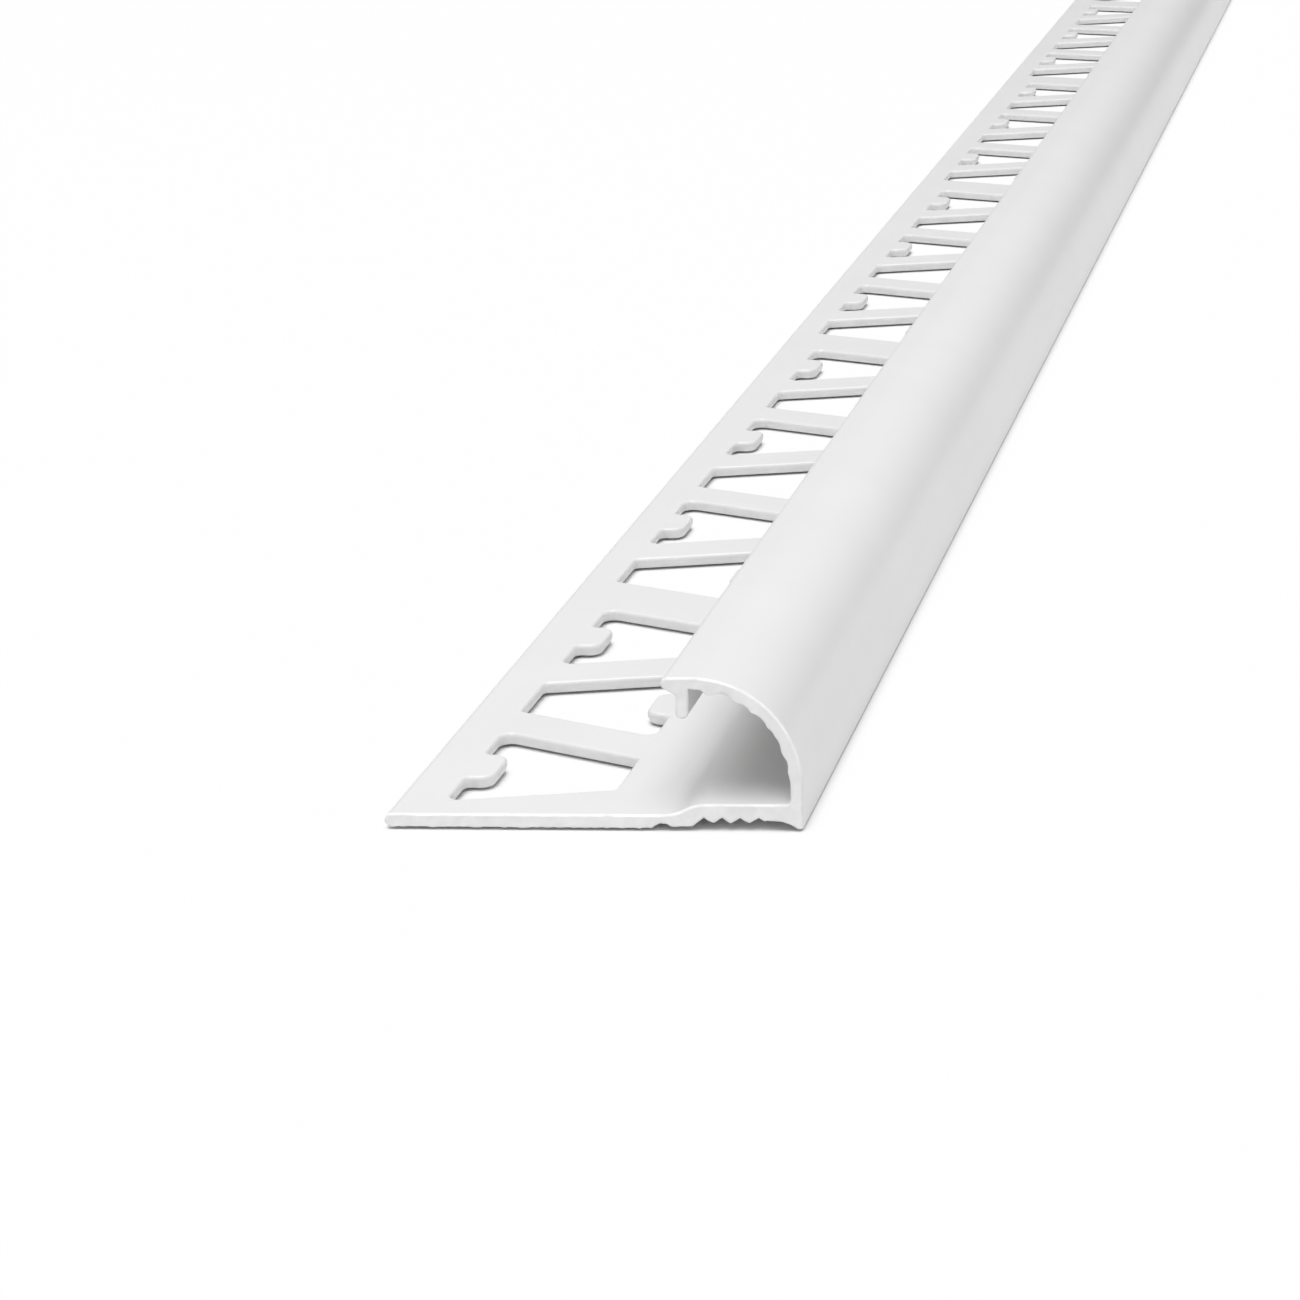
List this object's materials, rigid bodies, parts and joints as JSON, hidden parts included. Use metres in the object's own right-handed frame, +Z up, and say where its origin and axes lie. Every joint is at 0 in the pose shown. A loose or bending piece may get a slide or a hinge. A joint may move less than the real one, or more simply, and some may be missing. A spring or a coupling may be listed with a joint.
{
  "type": "tile edge trim",
  "caption": "White PVC quarter-round tile edge trim, one extruded strip with a punched anchoring leg, for finishing the outer edge of 10 mm wall tiles",
  "frame": {"origin": "on the floor under the middle of the strip, at the centre of the bottom of its box", "axes": "X runs across the strip from the anchoring leg to the rounded edge, Y runs along its length, Z is up"},
  "size_m": [0.03, 1, 0.011],
  "materials": {
    "white_pvc": "white extruded PVC with a satin gloss, plain sawn ends and punched holes"
  },
  "bodies": {
    "root": {"trim_profile": "white_pvc"}
  },
  "joints": []
}
